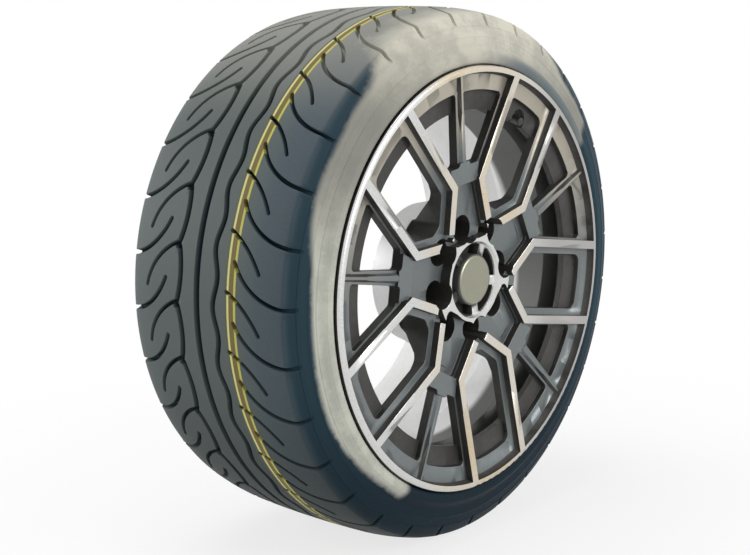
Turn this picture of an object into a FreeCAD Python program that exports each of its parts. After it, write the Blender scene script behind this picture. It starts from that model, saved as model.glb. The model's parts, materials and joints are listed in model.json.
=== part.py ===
import FreeCAD, Part
import math
import os

V = FreeCAD.Vector
ORIGIN = V(0, 0, 0)
AXLE = V(0, 1, 0)

# Every size is in millimetres.
# The axle runs along Y and the hub's mounting face is the plane y = 0.
# The styled face looks toward -Y and the car toward +Y.

# Rim: a 16 inch rim, 8.5 inches between the flanges, set 35 in from its middle.
OFFSET = 35.0
RIM_HALF = 107.95
SEAT_R = 202.8
SEAT_TAPER = math.tan(math.radians(5.0))
FLANGE_CURVE = 9.5
FLANGE_R = SEAT_R + 17.3
LIP_Y = -87.4
LIP_IN_R = 213.0
REAR_Y = 155.4
WELL_R = 184.0
WALL = 6.0
BARREL_IN_R = 196.5

# Face of the wheel: five groups of two ribs with a thin spoke between them.
GROUPS = 5
GROUP_STEP = 360.0 / GROUPS
GROUP_ANGLE = 99.4
HUB_FACE_Y = -77.4
HUB_FACE_R = 60.0
RIB_HALF = 4.6
RIB_RISE = 8.0
PAD_DROP = 12.0
RIB_HUB = V(57.0, 31.6, 0)
RIB_KINK = V(102.6, 22.4, 0)
RIB_RIM = V(202.5, 93.4, 0)
LEDGE = 7.5
WEB = 10.0
WINDOW_END_R = 195.0
SHELF_R = 175.0
SHELF_DROP = 6.0
SHELF_WALL = 7.0
WINDOW_HUB_R = 80.0
SPOKE_DROP = 4.0
FORK_U = 102.0
APEX_U = 121.0
SPOKE_HUB_R = 95.0
SPOKE_END_R = SHELF_R - 1.0

# Hub: bore, centre cap seat and two rings of four lug holes.
BORE_R = 33.55
BORE_END_Y = -46.0
PAD_R = 74.0
CAP_RECESS_R = 37.0
CAP_FLOOR_Y = -61.4
CAP_LEDGE_Y = -51.4
CAP_LEDGE_R = 22.5
CAP_LEG_ROOM_R = 29.0
CAP_TOOTH_R = 27.3
CAP_RING_R = 43.5
LUG_CIRCLES = (54.0, 57.15)
LUG_COUNT = 8
LUG_HOLE_R = 7.5
LUG_POCKET_R = 14.0
LUG_SEAT_Y = -20.0

# Tyre: section sizes are measured from its own middle plane.
TYRE_R = 279.0
CROWN_HALF = 60.0
CROWN_DROP = 1.4
SHOULDER_HALF = 99.0
SHOULDER_DROP = 7.2
SIDE_HALF = 113.0
BEAD_GAP = 0.25
CONTACT_DEPTH = 1.5

# Tread: one pattern repeated round the tyre.
PITCHES = 31
PITCH_ANGLE = 360.0 / PITCHES
TREAD_ANGLE = 151.05
GROOVE_DEPTH = 7.0
STRAIGHT_Y = 1.7
STRAIGHT_HALF = 3.75
SHOULDER_TILT = 5.3

# Valve: a snap-in rubber valve through the slope of the well.
VALVE_ANGLE = GROUP_ANGLE - GROUP_STEP / 2
VALVE_TILT = 24.0
VALVE_SEAT = (-41.0, 192.0)
VALVE_HOLE_R = 5.75
VALVE_NOTCH_R = 11.0
FIT = 0.1
SLIDE_GAP = 0.3


# Shape helpers.
def edges(start, steps):
    """Straight edges to points and arcs through pairs of points, closed."""
    made = []
    here = start
    for step in list(steps) + [start]:
        if isinstance(step, tuple):
            made.append(Part.Arc(here, step[0], step[1]).toShape())
            here = step[1]
        elif (step - here).Length > 1e-6:
            made.append(Part.makeLine(here, step))
            here = step
    return Part.Wire(made)


def turned(start, *steps):
    """Solid turned about Y from a section of (y, radius) points."""
    def at(p):
        return V(p[1], p[0], 0)
    moved = [tuple(at(q) for q in s) if isinstance(s[0], tuple) else at(s) for s in steps]
    return Part.Face(edges(at(start), moved)).revolve(ORIGIN, AXLE, 360)


def disc(radius, y0, y1):
    return Part.makeCylinder(radius, y1 - y0, V(0, y0, 0), AXLE)


def spot(angle, u, w):
    """Point u out along a spoke direction and w round from it."""
    a = math.radians(angle)
    return V(u * math.cos(a) - w * math.sin(a), 0, u * math.sin(a) + w * math.cos(a))


def prism(angle, points, y0, y1):
    """Outline of (u, w) points run along the axle."""
    corners = [spot(angle, u, w) + V(0, y0, 0) for u, w in points]
    return Part.Face(edges(corners[0], corners[1:])).extrude(V(0, y1 - y0, 0))


def rounded(solid, radius):
    """Solid with its edges that run along the axle rounded."""
    upright = [e for e in solid.Edges
               if len(e.Vertexes) == 2 and abs(e.tangentAt(e.FirstParameter).y) > 0.99]
    return solid.makeFillet(radius, upright)


def shifted(a, b, side):
    """The line from a to b moved sideways."""
    run = (b - a).normalize()
    move = V(-run.y, run.x, 0) * side
    return a + move, b + move


def crossing(p, q):
    """Point where two lines, each a pair of points, meet."""
    d = p[1] - p[0]
    e = q[1] - q[0]
    gap = q[0] - p[0]
    along = (gap.x * e.y - gap.y * e.x) / (d.x * e.y - d.y * e.x)
    return p[0] + d * along


def rib_side(side):
    """Rib outline moved sideways: rim end, kink and hub end."""
    upper = shifted(RIB_RIM, RIB_KINK, side)
    lower = shifted(RIB_KINK, RIB_HUB, side)
    return [upper[0], crossing(upper, lower), lower[1]]


def face_y(r):
    """Height of the machined face at a radius."""
    slope = (HUB_FACE_Y - LIP_Y) / (LIP_IN_R - HUB_FACE_R)
    return LIP_Y + (LIP_IN_R - min(max(r, HUB_FACE_R), LIP_IN_R)) * slope


def face_layer(top, bottom):
    """Ring of material from one depth under the machined face to another."""
    radii = (LIP_IN_R + 1.0, LIP_IN_R, HUB_FACE_R, CAP_RECESS_R)
    front = [(face_y(r) + top, r) for r in radii]
    back = [(face_y(r) + bottom, r) for r in reversed(radii)]
    return turned(front[0], *front[1:], *back)


# Rim section, from the lip over the tyre seats to the rear and back inside.
FRONT = OFFSET - RIM_HALF
REAR = OFFSET + RIM_HALF
CURVE_R = FLANGE_R - FLANGE_CURVE
HALF_CURVE = FLANGE_CURVE * math.sqrt(0.5)


def seat_r(reach):
    return SEAT_R - reach * SEAT_TAPER


tilt = math.radians(VALVE_TILT)
run_y = math.sin(tilt) / math.cos(tilt)


def slope_y(r, inset):
    """The well's front slope, square to the valve, inset into the metal."""
    return VALVE_SEAT[0] - inset / math.cos(tilt) + (VALVE_SEAT[1] - r) * run_y


def shelf_y(r):
    """Front of the shelf that runs round inside the rim, behind the windows' outer ends."""
    return face_y(r) + RIB_RISE + SHELF_DROP


rim = turned(
    (LIP_Y, LIP_IN_R),
    (LIP_Y, FLANGE_R - 3.4),
    ((LIP_Y + 1.4, FLANGE_R - 1.0), (FRONT - FLANGE_CURVE, FLANGE_R)),
    ((FRONT - FLANGE_CURVE + HALF_CURVE, CURVE_R + HALF_CURVE), (FRONT, CURVE_R)),
    (FRONT, SEAT_R + 4.5),
    ((FRONT + 1.3, SEAT_R + 1.3), (FRONT + 4.5, seat_r(4.5))),
    (FRONT + 21.0, seat_r(21.0)),
    (FRONT + 23.5, seat_r(21.0) + 0.9),
    (slope_y(200.0, 0), 200.0),
    (slope_y(WELL_R, 0), WELL_R),
    (8.0, WELL_R),
    (26.0, 196.0),
    (REAR - 25.0, 199.5),
    (REAR - 22.5, seat_r(20.0) + 0.9),
    (REAR - 20.0, seat_r(20.0)),
    (REAR - 4.5, seat_r(4.5)),
    ((REAR - 1.3, SEAT_R + 1.3), (REAR, SEAT_R + 4.5)),
    (REAR, CURVE_R),
    ((REAR + FLANGE_CURVE - HALF_CURVE, CURVE_R + HALF_CURVE), (REAR + FLANGE_CURVE, FLANGE_R)),
    ((REAR_Y - 0.6, FLANGE_R - 1.0), (REAR_Y, FLANGE_R - 3.4)),
    (REAR_Y, 211.5),
    (REAR_Y - 6.5, 204.0),
    (REAR_Y - 12.5, BARREL_IN_R + 0.6),
    (118.0, 193.6),
    (25.0, 190.0),
    (10.0, WELL_R - WALL),
    (slope_y(WELL_R - WALL, WALL), WELL_R - WALL),
    (slope_y(BARREL_IN_R, WALL), BARREL_IN_R),
    (shelf_y(BARREL_IN_R) + SHELF_WALL, BARREL_IN_R),
    (shelf_y(SHELF_R) + SHELF_WALL, SHELF_R),
    (shelf_y(SHELF_R), SHELF_R),
    (shelf_y(BARREL_IN_R), BARREL_IN_R),
    (face_y(BARREL_IN_R) + RIB_RISE, BARREL_IN_R),
    (face_y(211.0) + RIB_RISE, 211.0),
)

# Dished plate behind the ribs, thin at the windows and deep at the hub pad.
plate = turned(
    (face_y(199.0) + RIB_RISE, 199.0),
    (HUB_FACE_Y + RIB_RISE, HUB_FACE_R),
    (HUB_FACE_Y + RIB_RISE, CAP_RECESS_R),
    (CAP_FLOOR_Y, CAP_RECESS_R),
    (CAP_FLOOR_Y, CAP_LEDGE_R),
    (CAP_LEDGE_Y, CAP_LEDGE_R),
    (CAP_LEDGE_Y, CAP_LEG_ROOM_R),
    (BORE_END_Y, CAP_LEG_ROOM_R),
    (BORE_END_Y, BORE_R),
    (0, BORE_R),
    (0, PAD_R),
    (-10.0, PAD_R + 2.0),
    (-40.0, 84.0),
    (-56.0, 100.0),
    (face_y(120.0) + RIB_RISE + WEB, 120.0),
    (face_y(199.0) + RIB_RISE + WEB, 199.0),
)

# Ribs, thin spokes, forks and the hub star, raised above the plate.
ridge_layer = face_layer(0, RIB_RISE + 1.0)
fork_layer = face_layer(SPOKE_DROP, RIB_RISE + 1.0)
pad_layer = face_layer(-5.0, PAD_DROP)
rib_in = rib_side(RIB_HALF)
rib_out = rib_side(-RIB_HALF)

raised = []
pockets = []
windows = []
for g in range(GROUPS):
    angle = GROUP_ANGLE + g * GROUP_STEP
    for hand in (1, -1):
        outline = [(p.x, p.y * hand) for p in rib_in + rib_out[::-1]]
        raised.append(prism(angle, outline, -100, -55).common(ridge_layer))

        # Small window between a rib and the thin spoke.
        wall_line = shifted(RIB_RIM, RIB_KINK, RIB_HALF + 2.0)
        spoke_line = (V(110.0, 8.0, 0), V(220.0, 5.2, 0))
        flat = (V(APEX_U, 0, 0), V(APEX_U, 50.0, 0))
        far = (V(230.0, 0, 0), V(230.0, 120.0, 0))
        corners = [crossing(flat, spoke_line), crossing(flat, wall_line),
                   crossing(far, wall_line), crossing(far, spoke_line)]
        hole = prism(angle, [(p.x, p.y * hand) for p in corners], -110, -35)
        windows.append(rounded(hole.common(disc(WINDOW_END_R, -110, -35)), 4.2))

    # Thin spoke with sloping sides, from the fork to the lip.
    sections = []
    for u, base, top in ((FORK_U + 6.0, 6.0, 2.6), (LIP_IN_R - 0.5, 3.4, 1.4)):
        low = face_y(u) + RIB_RISE + 1.0
        high = face_y(u) + SPOKE_DROP
        quad = [spot(angle, u, w) + V(0, y, 0)
                for w, y in ((-base, low), (base, low), (top, high), (-top, high))]
        sections.append(edges(quad[0], quad[1:]))
    raised.append(Part.makeLoft(sections, True, True))

    # Fork that joins the thin spoke to its two ribs.
    half = rib_in[1].y + 1.5
    fork = prism(angle, [(FORK_U, half), (APEX_U + 4, half + 6),
                         (APEX_U + 4, -half - 6), (FORK_U, -half)], -100, -55)
    raised.append(fork.common(fork_layer))

    # Sunk pad between the ribs, out from the ring round the cap.
    mouth = rib_in[2] + (rib_in[2] - rib_in[1]) * 0.3
    pad = prism(angle, [(FORK_U, rib_in[1].y), (mouth.x, mouth.y),
                        (mouth.x, -mouth.y), (FORK_U, -rib_in[1].y)], -110, -50)
    pockets.append(rounded(pad, 6.0).common(pad_layer).cut(disc(CAP_RING_R, -120, 0)))

    # Large window between this group and the next, as seen from its own middle.
    turn = math.radians(GROUP_STEP / 2)
    edge = []
    for p in rib_side(-RIB_HALF - LEDGE):
        edge.append((p.x * math.cos(turn) + p.y * math.sin(turn),
                     p.y * math.cos(turn) - p.x * math.sin(turn)))
    corners = edge + [(u, -w) for u, w in reversed(edge)]
    hole = prism(angle + GROUP_STEP / 2, corners, -110, -35)
    hole = hole.common(disc(WINDOW_END_R, -110, -35)).cut(disc(WINDOW_HUB_R, -110, -35))
    windows.append(rounded(hole, 9.0))

star = turned(
    (HUB_FACE_Y, HUB_FACE_R), (HUB_FACE_Y, CAP_RING_R - 3.5), (HUB_FACE_Y + 4.5, CAP_RECESS_R),
    (HUB_FACE_Y + RIB_RISE + 1.0, CAP_RECESS_R), (HUB_FACE_Y + RIB_RISE + 1.0, HUB_FACE_R))
face = plate.fuse([star] + raised).cut(pockets + windows)
teeth = []
for g in range(GROUPS):
    tooth = prism(GROUP_ANGLE + (g + 0.5) * GROUP_STEP, [(10, -5), (CAP_RECESS_R + 1, -5),
                  (CAP_RECESS_R + 1, 5), (10, 5)], HUB_FACE_Y + 4.5, CAP_FLOOR_Y + 1)
    teeth.append(tooth.cut(disc(CAP_TOOTH_R, -110, 0)))
face = face.fuse(teeth)
wheel = rim.fuse(face)

# Lug holes with cone seats.
cuts = []
for k in range(LUG_COUNT):
    place = spot(GROUP_ANGLE + k * 360.0 / LUG_COUNT, LUG_CIRCLES[k % 2], 0)
    cone = (LUG_POCKET_R - LUG_HOLE_R) * math.sqrt(3.0)
    cuts.append(Part.makeCylinder(LUG_POCKET_R, LUG_SEAT_Y + 110, place + V(0, -110, 0), AXLE))
    cuts.append(Part.makeCone(LUG_POCKET_R, LUG_HOLE_R, cone, place + V(0, LUG_SEAT_Y, 0), AXLE))
    cuts.append(Part.makeCylinder(LUG_HOLE_R, 30, place + V(0, LUG_SEAT_Y, 0), AXLE))

# The valve's own axis, pointing out of the tyre toward the face.
va = math.radians(VALVE_ANGLE)
OUTWARD = V(math.cos(va), 0, math.sin(va))
STEM = V(0, -math.cos(tilt), 0) - OUTWARD * math.sin(tilt)
SEAT = V(0, VALVE_SEAT[0], 0) + OUTWARD * VALVE_SEAT[1]
cuts.append(Part.makeCylinder(VALVE_HOLE_R, 24, SEAT - STEM * 12, STEM))
cuts.append(Part.makeCylinder(VALVE_NOTCH_R, 36, SEAT + STEM * (WALL + 2.0), STEM))
wheel = wheel.cut(cuts).removeSplitter()

# The casting is kept as a rim, a hub and five spoke groups, which meet where the metal runs on.
inner_zone = disc(SPOKE_END_R, -110, 20)
hub_zone = disc(SPOKE_HUB_R, -110, 20)
centre = wheel.common(inner_zone)
wheel_rim = wheel.cut(inner_zone)
wheel_hub = centre.common(hub_zone)
spokes = centre.cut(hub_zone).Solids
spoke_groups = []
for g in range(GROUPS):
    toward = spot(GROUP_ANGLE + g * GROUP_STEP, 1.0, 0)
    spoke_groups.append(max(spokes, key=lambda s: s.CenterOfMass.dot(toward)))


def on_stem(start, *steps):
    """Solid turned about the valve's axis from (distance, radius) points."""
    solid = turned(start, *steps)
    solid.Placement = FreeCAD.Placement(SEAT, FreeCAD.Rotation(AXLE, STEM))
    return solid


# Tyre section, one half and its mirror image.
bead_r = FLANGE_CURVE + BEAD_GAP
bead_y = RIM_HALF - BEAD_GAP
low_gap = math.sqrt(bead_r ** 2 - (RIM_HALF + FLANGE_CURVE - 112.5) ** 2)
half_section = [
    (CROWN_HALF, TYRE_R - CROWN_DROP),
    ((80.0, TYRE_R - 3.4), (SHOULDER_HALF, TYRE_R - SHOULDER_DROP)),
    ((102.6, TYRE_R - 9.4), (104.2, TYRE_R - 13.0)),
    ((110.8, 252.0), (SIDE_HALF, 240.0)),
    (112.5, 226.0),
    (112.5, CURVE_R + low_gap),
    ((RIM_HALF + FLANGE_CURVE - bead_r * math.cos(0.6), CURVE_R + bead_r * math.sin(0.6)),
     (bead_y, CURVE_R)),
    (bead_y, SEAT_R + 4.6),
    ((bead_y - 1.2, SEAT_R + 1.6), (bead_y - 4.4, seat_r(4.5) + BEAD_GAP)),
    (90.0, seat_r(RIM_HALF - 90.0) + BEAD_GAP),
    (91.5, 205.5),
    ((99.5, 214.0), (103.5, 226.0)),
    ((105.0, 240.0), (101.5, 254.0)),
    ((97.5, 261.0), (84.0, 263.5)),
]


def placed(p):
    return (p[0] + OFFSET, p[1])


def mirrored(p):
    return (OFFSET - p[0], p[1])


section = [tuple(placed(q) for q in s) if isinstance(s[0], tuple) else placed(s) for s in half_section]
ends = [s[1] if isinstance(s[0], tuple) else s for s in half_section]
back = []
for i in range(len(half_section) - 1, 0, -1):
    step = half_section[i]
    if isinstance(step[0], tuple):
        back.append((mirrored(step[0]), mirrored(ends[i - 1])))
    else:
        back.append(mirrored(ends[i - 1]))
crown = ((OFFSET, TYRE_R), placed(ends[0]))
inside = ((OFFSET, 265.0), mirrored(ends[-1]))
tyre = turned(mirrored(ends[0]), crown, *section[1:], inside, *back)


# Tread grooves: bands that follow arcs on a plane that touches the tread.
def band(first, middle, last, half, tilted):
    """Groove tool along an arc of (y, t) points, set round to its place."""
    t_mid = (first[1] + last[1]) / 2
    floor = TYRE_R - GROOVE_DEPTH
    pts = [V(floor, OFFSET + y, t - t_mid) for y, t in (first, middle, last)]
    centre = Part.Arc(*pts).toShape().Curve.Center
    lines = []
    for grow in (half, -half):
        lines.append([centre + (p - centre) * (1 + grow / (p - centre).Length) for p in pts])
    far, near = lines
    face = Part.Face(edges(far[0], [(far[1], far[2]), near[2], (near[1], near[0])]))
    tool = face.extrude(V(GROOVE_DEPTH + 8.0, 0, 0))
    if tilted:
        sink = -SHOULDER_TILT if last[0] > 0 else SHOULDER_TILT
        tool.rotate(pts[0], V(0, 0, 1), -sink)
    tool.rotate(ORIGIN, AXLE, -(TREAD_ANGLE + math.degrees(t_mid / TYRE_R)))
    return tool


pitch = math.radians(PITCH_ANGLE) * TYRE_R
over = 0.6
pattern = [
    band((-27.0, -over), (-21.5, pitch / 2), (-27.0, pitch + over), 3.0, False),
    band((27.2, 26.0), (25.7, 52.0), (32.6, 30.0 + pitch), 3.2, False),
    band((31.0, 25.6), (56.0, 42.5), (75.0, 69.6), 2.2, False),
    band((47.0, 4.6), (60.0, 23.0), (108.0, 41.5), 2.4, True),
    band((-30.0, 2.5), (-57.0, 18.8), (-77.0, 44.6), 2.0, False),
    band((-47.0, 37.6), (-66.0, 60.0), (-108.0, 72.8), 2.2, True),
]
straight = disc(TYRE_R + 5, OFFSET + STRAIGHT_Y - STRAIGHT_HALF, OFFSET + STRAIGHT_Y + STRAIGHT_HALF)
grooves = [straight.cut(disc(TYRE_R - GROOVE_DEPTH, -200, 200))]
for k in range(PITCHES):
    for tool in pattern:
        copy = tool.copy()
        copy.rotate(ORIGIN, AXLE, -k * PITCH_ANGLE)
        grooves.append(copy)
ground = Part.makeBox(300, 300, 50, V(-150, OFFSET - 150, CONTACT_DEPTH - TYRE_R - 50))
tyre = tyre.cut(grooves).cut(ground)

# Centre cap: a plastic body with snap legs, a bare front disc and a spring ring.
CAP_LEG_R = CAP_LEDGE_R - 0.4
CAP_LEG_IN_R = CAP_LEG_R - 2.5
CAP_FRONT_Y = HUB_FACE_Y + 1.0
CAP_R = CAP_TOOTH_R - 0.8
BADGE_R = CAP_R - 1.2
cap = turned(
    (CAP_FLOOR_Y - 0.1, CAP_LEG_IN_R), (CAP_FLOOR_Y - 0.1, CAP_R), (CAP_FRONT_Y + 1.0, CAP_R),
    (CAP_FRONT_Y, CAP_R - 0.8), (CAP_FRONT_Y, BADGE_R), (CAP_FRONT_Y + 2.0, BADGE_R),
    (CAP_FRONT_Y + 2.0, 0), (CAP_FRONT_Y + 4.5, 0), (CAP_FRONT_Y + 4.5, CAP_LEG_IN_R))
legs = turned(
    (CAP_FLOOR_Y - 0.5, CAP_LEG_IN_R), (CAP_FLOOR_Y - 0.5, CAP_LEG_R), (CAP_LEDGE_Y + 0.3, CAP_LEG_R),
    (CAP_LEDGE_Y + 0.3, CAP_LEG_R + 1.4), (CAP_LEDGE_Y + 3.4, CAP_LEG_R - 0.6),
    (CAP_LEDGE_Y + 3.4, CAP_LEG_IN_R), (CAP_LEDGE_Y - 1.5, CAP_LEG_IN_R),
    (CAP_LEDGE_Y - 1.5, CAP_LEG_IN_R + 0.9), (CAP_LEDGE_Y - 3.5, CAP_LEG_IN_R + 0.9),
    (CAP_LEDGE_Y - 3.5, CAP_LEG_IN_R))
for k in range(4):
    legs = legs.cut(prism(k * 45.0 + 22.5, [(-40, -4), (40, -4), (40, 4), (-40, 4)], CAP_FLOOR_Y, 0))
cap = cap.fuse(legs).removeSplitter()
badge = turned((CAP_FRONT_Y + 2.0, 0), (CAP_FRONT_Y + 2.0, BADGE_R - FIT), (CAP_FRONT_Y + 0.2, BADGE_R - FIT),
               (CAP_FRONT_Y - 0.6, BADGE_R - 1.4), (CAP_FRONT_Y - 0.6, 0))
spring_ring = Part.makeTorus(CAP_LEG_IN_R - 0.05, 0.85, V(0, CAP_LEDGE_Y - 2.5, 0), AXLE)

# Valve pieces, at distances along the stem from the seat.
HOLE_FIT = VALVE_HOLE_R - FIT
RUBBER_END = 25.0
BRASS_R = 3.0
THREAD_R = 3.75
STEM_END = 34.5
CORE_R = 2.2
rubber = on_stem(
    (-4.5, BRASS_R), (-4.5, 8.0), (-3.6, 9.4), (-0.6, 9.4), (-0.1, 8.8), (-0.1, HOLE_FIT),
    (WALL + 0.1, HOLE_FIT), (WALL + 0.1, 7.4), (WALL + 3.0, 7.6), (RUBBER_END - 1.0, 6.0),
    (RUBBER_END, 5.0), (RUBBER_END, BRASS_R))
threads = []
for k in range(8):
    a = RUBBER_END + 1.8 + k * 0.9
    threads += [(a, THREAD_R - 0.35), (a + 0.45, THREAD_R)]
stem = on_stem(
    (-3.0, 1.4), (-3.0, BRASS_R - FIT), (RUBBER_END + 0.1, BRASS_R - FIT), (RUBBER_END + 0.1, 4.4),
    (RUBBER_END + 1.4, 4.4), (RUBBER_END + 1.4, THREAD_R - 0.35), *threads,
    (STEM_END - 0.4, THREAD_R - 0.35), (STEM_END, THREAD_R - 0.8), (STEM_END, CORE_R),
    (18.0, CORE_R), (17.0, 1.4))
core = on_stem(
    (19.0, 0.95), (19.0, CORE_R - FIT), (33.6, CORE_R - FIT), (33.6, 1.75), (20.5, 1.75), (20.5, 0.95))
pin = on_stem(
    (7.0, 0), (7.0, 1.1), (17.2, 1.1), (18.7, 1.1), (18.7, 0.6), (31.6, 0.6), (31.6, 1.4),
    (32.6, 1.4), (32.6, 0.6), (34.2, 0.6), (34.4, 0.4), (34.4, 0))

COIL_R = 1.16
COIL_WIRE = 0.22
coil_path = Part.makeHelix(1.78, 10.68, COIL_R)
coil_end = Part.Wire(Part.makeCircle(COIL_WIRE, V(COIL_R, 0, 0), V(0, 1, 0)))
coil = Part.Wire(coil_path).makePipeShell([coil_end], True, True)
coil.Placement = FreeCAD.Placement(SEAT + STEM * 20.76, FreeCAD.Rotation(V(0, 0, 1), STEM))

CAP_END = 38.0
valve_cap = on_stem(
    (RUBBER_END + 1.4 + SLIDE_GAP, THREAD_R + SLIDE_GAP), (RUBBER_END + 1.4 + SLIDE_GAP, 5.1),
    (CAP_END - 1.2, 4.7), (CAP_END, 3.6), (CAP_END, 0), (CAP_END - 1.6, 0), (CAP_END - 1.6, THREAD_R + SLIDE_GAP))
flutes = []
for k in range(10):
    flute = Part.makeCylinder(0.7, 7.0, V(5.35, 28.4, 0), AXLE)
    flute.rotate(ORIGIN, AXLE, k * 36.0)
    flute.Placement = FreeCAD.Placement(SEAT, FreeCAD.Rotation(AXLE, STEM)).multiply(flute.Placement)
    flutes.append(flute)
valve_cap = valve_cap.cut(flutes)

os.makedirs("parts", exist_ok=True)
wheel_rim.exportStep("parts/wheel_rim.step")
wheel_hub.exportStep("parts/wheel_hub.step")
for g, group in enumerate(spoke_groups):
    group.exportStep("parts/spoke_group_%d.step" % (g + 1))
tyre.exportStep("parts/tyre.step")
cap.exportStep("parts/centre_cap.step")
badge.exportStep("parts/cap_disc.step")
spring_ring.exportStep("parts/cap_spring_ring.step")
rubber.exportStep("parts/valve_rubber.step")
stem.exportStep("parts/valve_stem.step")
core.exportStep("parts/valve_core.step")
pin.exportStep("parts/valve_pin.step")
coil.exportStep("parts/valve_spring.step")
valve_cap.exportStep("parts/valve_cap.step")
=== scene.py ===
# %% [markdown]
# # A car wheel with its tyre
#
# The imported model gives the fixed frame: every piece below sits where its solid sits, in metres,
# with the axle along Y, the styled face toward -Y and the tread standing on the floor.
# This lesson dresses that frame with a finely grooved tyre, a bevelled alloy wheel and their finishes.

# %% Load the fixed frame
import json
import bmesh
import bpy
import numpy as np
from mathutils import Matrix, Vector
from mathutils.geometry import delaunay_2d_cdt


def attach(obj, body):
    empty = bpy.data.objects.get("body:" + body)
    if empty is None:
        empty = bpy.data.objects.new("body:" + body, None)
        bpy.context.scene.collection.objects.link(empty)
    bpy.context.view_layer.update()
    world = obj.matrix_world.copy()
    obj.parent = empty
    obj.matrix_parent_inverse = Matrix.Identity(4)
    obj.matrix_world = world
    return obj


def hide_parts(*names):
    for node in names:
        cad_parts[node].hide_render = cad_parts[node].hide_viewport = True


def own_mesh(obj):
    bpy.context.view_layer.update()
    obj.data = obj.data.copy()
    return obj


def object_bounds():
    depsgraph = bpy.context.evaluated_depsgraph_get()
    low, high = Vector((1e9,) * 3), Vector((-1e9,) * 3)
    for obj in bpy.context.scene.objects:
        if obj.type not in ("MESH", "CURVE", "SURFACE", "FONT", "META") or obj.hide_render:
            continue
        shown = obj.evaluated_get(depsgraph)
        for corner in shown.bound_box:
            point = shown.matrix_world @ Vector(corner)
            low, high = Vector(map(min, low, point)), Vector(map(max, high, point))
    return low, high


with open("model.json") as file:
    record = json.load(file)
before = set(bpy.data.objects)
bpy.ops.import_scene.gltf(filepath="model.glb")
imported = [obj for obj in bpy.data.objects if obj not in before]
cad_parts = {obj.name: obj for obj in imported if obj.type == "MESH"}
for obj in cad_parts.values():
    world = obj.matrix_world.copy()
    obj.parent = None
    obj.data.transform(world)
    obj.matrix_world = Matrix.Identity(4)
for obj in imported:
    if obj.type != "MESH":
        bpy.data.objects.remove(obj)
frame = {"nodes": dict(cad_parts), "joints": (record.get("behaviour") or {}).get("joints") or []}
cad_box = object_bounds()
scene = bpy.context.scene
scene.view_settings.view_transform = "Standard"
MM = 0.001
print("nodes:", sorted(frame["nodes"]))

# %% [markdown]
# ## Camera
#
# A long lens a metre and a half away sees the wheel turned to the side and slightly from above.
# The place is written as two angles and a distance, because these can be changed one at a time
# while a render is laid beside the photograph.

# %% Camera at the photograph's angle
AIM = np.array([0.0, 0.035, 0.0])
TURN = np.radians(-49.66)
RISE = np.radians(10.0)
DISTANCE = 1.424

toward = np.array([np.sin(TURN) * np.cos(RISE), -np.cos(TURN) * np.cos(RISE), np.sin(RISE)])
right = np.array([np.cos(TURN), np.sin(TURN), 0.0])
up = np.cross(toward, right)
placed = np.eye(4)
placed[:3, :3] = np.stack([right, up, toward], axis=1)
placed[:3, 3] = AIM + DISTANCE * toward
lens = bpy.data.cameras.new("photo_camera")
lens.lens = 62.88
lens.sensor_width = 36.0
lens.sensor_fit = "HORIZONTAL"
lens.shift_x = -0.0235
lens.shift_y = -0.0131
camera = bpy.data.objects.new("photo_camera", lens)
scene.collection.objects.link(camera)
camera.matrix_world = Matrix(placed.tolist())
scene.camera = camera
print("camera at", placed[:3, 3].round(3))

# %% [markdown]
# ## Node helpers
#
# Every finish is a small graph of shader nodes. One helper adds a node, sets its own properties and
# fills each input with a plain value or with the socket that feeds it, so a graph reads like a recipe.

# %% Helpers for node graphs
def add(tree, kind, inputs=None, **settings):
    """One node in the tree: settings are its properties, inputs hold values or feeding sockets."""
    made = tree.nodes.new(kind)
    for key, value in settings.items():
        setattr(made, key, value)
    for key, value in (inputs or {}).items():
        if isinstance(value, bpy.types.NodeSocket):
            tree.links.new(value, made.inputs[key])
        else:
            made.inputs[key].default_value = value
    return made


def calc(tree, operation, first, second=0.0):
    """The output of one Math node."""
    return add(tree, "ShaderNodeMath", {0: first, 1: second}, operation=operation).outputs[0]


def ramp(tree, value, low, high, start=0.0, end=1.0):
    """Value carried from the span low..high to start..end with soft ends."""
    return add(tree, "ShaderNodeMapRange",
               {"Value": value, "From Min": low, "From Max": high, "To Min": start, "To Max": end},
               interpolation_type="SMOOTHSTEP").outputs["Result"]


def tint(tree, mask, below, above):
    """Colour below where the mask is 0 and colour above where it is 1."""
    return add(tree, "ShaderNodeMix", {0: mask, 6: below, 7: above}, data_type="RGBA").outputs[2]


def new_finish(name, **values):
    """A material with its Principled shader set to plain values, and its Object coordinates."""
    made = bpy.data.materials.new(name)
    made.use_nodes = True
    tree = made.node_tree
    shader = tree.nodes["Principled BSDF"]
    for key, value in values.items():
        shader.inputs[key.replace("_", " ")].default_value = value
    place = add(tree, "ShaderNodeTexCoord").outputs["Object"]
    return made, tree, shader.inputs, place


def new_group(name, inputs, outputs):
    """A node group with named float or vector inputs and float outputs, and its inner ends."""
    tree = bpy.data.node_groups.new(name, "ShaderNodeTree")
    for label, kind in inputs:
        tree.interface.new_socket(label, in_out="INPUT", socket_type="NodeSocket" + kind)
    for label in outputs:
        tree.interface.new_socket(label, in_out="OUTPUT", socket_type="NodeSocketFloat")
    return tree, tree.nodes.new("NodeGroupInput").outputs, tree.nodes.new("NodeGroupOutput").inputs


def use(tree, group, **inputs):
    """The outputs of a group placed in a material with its own values."""
    return add(tree, "ShaderNodeGroup", inputs, node_tree=group).outputs


def relief(tree, sockets, height, strength, distance):
    """Fine relief in a finish: the height feeds a Bump node, and that feeds the shader's Normal."""
    bump = add(tree, "ShaderNodeBump", {"Strength": strength, "Distance": distance, "Height": height})
    tree.links.new(bump.outputs["Normal"], sockets["Normal"])


print("node helpers ready")

# %% [markdown]
# ## Studio
#
# The photograph has a plain white ground and soft light from the front and above.
# A pale floor and a white world give the ground. The floor glows a little to the camera, so that it
# stays white there, and its plain part still takes the shadow under the tread.

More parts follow.
